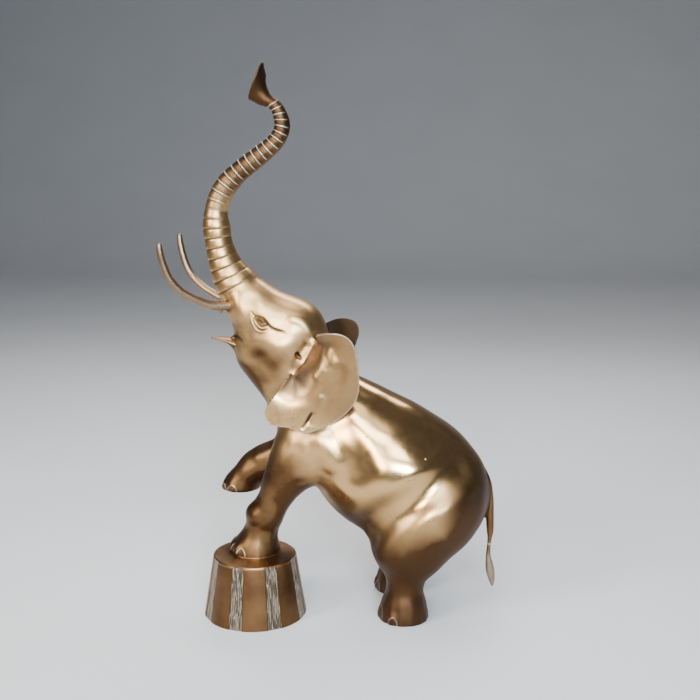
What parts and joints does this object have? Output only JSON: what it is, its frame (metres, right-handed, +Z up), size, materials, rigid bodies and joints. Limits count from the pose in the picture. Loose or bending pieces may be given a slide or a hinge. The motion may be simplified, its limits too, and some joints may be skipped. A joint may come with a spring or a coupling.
{
  "type": "elephant doorstop",
  "caption": "Cast brass circus elephant doorstop, rearing on its hind feet with a forefoot on a fluted drum, ringed trunk thrown up, long thin tusks, spread ears and a hanging tail.",
  "frame": {"origin": "on the floor, under the middle of the bounding box", "axes": "+Z up, -X the way the elephant faces, -Y its left side, which the picture shows"},
  "size_m": [0.2417, 0.1098, 0.3995],
  "materials": {
    "polished_brass": "polished cast brass with brown patina in the hollows",
    "brown_brass": "brown patinated brass with pale chiselled flutes",
    "dull_brass": "dull, slightly rough greyish brass rod"
  },
  "bodies": {
    "root": {"elephant": "polished_brass", "drum": "brown_brass", "tusk_left": "dull_brass", "tusk_right": "dull_brass"}
  },
  "joints": []
}
